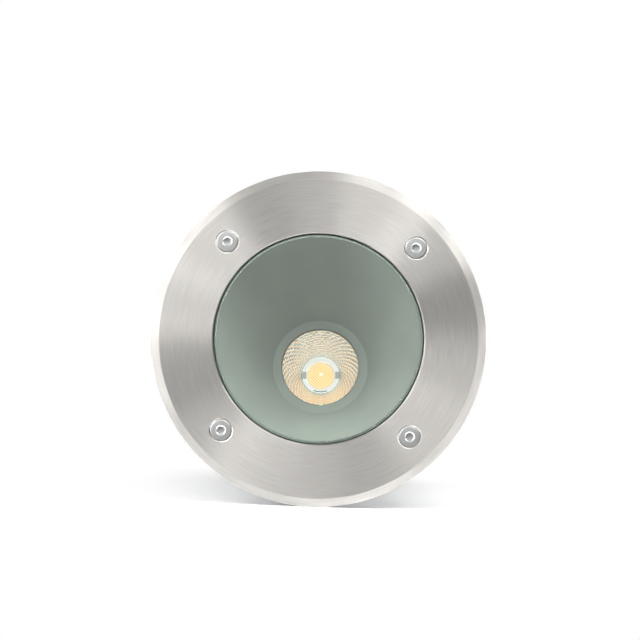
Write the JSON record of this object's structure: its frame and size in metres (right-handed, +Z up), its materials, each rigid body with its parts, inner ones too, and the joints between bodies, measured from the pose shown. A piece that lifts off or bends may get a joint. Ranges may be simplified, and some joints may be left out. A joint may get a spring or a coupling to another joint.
{
  "type": "in ground well light",
  "caption": "Round drive-over ground light: stainless trim and stepped glass over a sealed lamp with a turning tilted reflector, in a buried plastic sleeve.",
  "frame": {"origin": "on the lamp's axis at finished ground level, which is the top of the buried sleeve and the underside of the trim's skirt", "axes": "+Z up out of the ground along the lamp's axis; +Y is the side that the beam leans towards before the optic is turned; +X completes the right-handed frame"},
  "size_m": [0.18, 0.18, 0.1697],
  "materials": {
    "sleeve_plastic": "black moulded polypropylene, finely grained",
    "seal_rubber": "black silicone rubber",
    "trim_stainless": "stainless steel, brushed in circles round the lamp's axis",
    "screw_stainless": "turned stainless steel",
    "green_glass": "clear tempered glass, green through its thickness",
    "cast_aluminium": "die-cast aluminium with a dark grey powder coat",
    "machined_aluminium": "machined bare aluminium",
    "zinc_steel": "zinc-plated steel",
    "spindle_brass": "turned brass",
    "washer_acetal": "blue-grey acetal",
    "driver_plastic": "off-white moulded plastic",
    "circuit_board": "green solder resist",
    "coil_tape": "yellow winding tape",
    "capacitor_sleeve": "dark blue shrink sleeve",
    "terminal_plastic": "ivory moulded plastic",
    "brown_insulation": "brown wire insulation",
    "red_insulation": "red silicone insulation",
    "earth_insulation": "green and yellow insulation",
    "gland_plastic": "black glass-filled nylon",
    "nickel_brass": "nickel-plated brass",
    "bezel_paint": "satin grey paint, seen grey-green through the glass",
    "reflector_coating": "vacuum-metallised facets",
    "phosphor_gel": "yellow phosphor in clear silicone",
    "led_ceramic": "pale ceramic-coated metal board",
    "holder_plastic": "white moulded plastic",
    "contact_steel": "plated spring contacts",
    "thermal_silicone": "blue-grey thermal pad"
  },
  "bodies": {
    "well": {"mounting_sleeve": "sleeve_plastic", "entry_plug": "seal_rubber"},
    "luminaire": {"sleeve_gasket": "seal_rubber", "trim_ring": "trim_stainless", "trim_screws": "screw_stainless", "glass_lens": "green_glass", "upper_glass_seal": "seal_rubber", "lower_glass_seal": "seal_rubber", "housing": "cast_aluminium", "bearing_plate": "machined_aluminium", "plate_screws": "zinc_steel", "spindle": "spindle_brass", "spindle_nut": "spindle_brass", "friction_washer": "washer_acetal", "retaining_ring": "zinc_steel", "driver_case": "driver_plastic", "driver_cover": "driver_plastic", "driver_screws": "zinc_steel", "driver_board": "circuit_board", "driver_coil": "coil_tape", "driver_capacitors": "capacitor_sleeve", "terminal_block": "terminal_plastic", "terminal_screws": "zinc_steel", "earth_screw": "spindle_brass", "input_wires": "brown_insulation", "output_wires": "red_insulation", "earth_wire": "earth_insulation", "gland_body": "gland_plastic", "gland_o_ring": "seal_rubber", "gland_locknut": "gland_plastic", "gland_bush": "seal_rubber", "gland_dome_nut": "gland_plastic", "breather_valve": "nickel_brass"},
    "optic": {"turntable": "machined_aluminium", "wave_washer": "zinc_steel", "optic_posts": "machined_aluminium", "post_screws": "zinc_steel", "anti_glare_bezel": "bezel_paint", "reflector": "reflector_coating", "led_emitter": "phosphor_gel", "led_board": "led_ceramic", "led_holder": "holder_plastic", "led_contacts": "contact_steel", "holder_screws": "zinc_steel", "thermal_pad": "thermal_silicone", "heat_wedge": "machined_aluminium", "wedge_screws": "zinc_steel", "led_leads": "red_insulation"}
  },
  "joints": [
    {"name": "luminaire_lift", "type": "slide", "parent": "well", "child": "luminaire", "axis": [0, 0, 1], "range_m": [0, 0.15]},
    {"name": "optic_aim", "type": "hinge", "parent": "luminaire", "child": "optic", "pos_m": [0, 0, -0.08], "axis": [0, 0, 1], "range_deg": [-170, 170]}
  ]
}
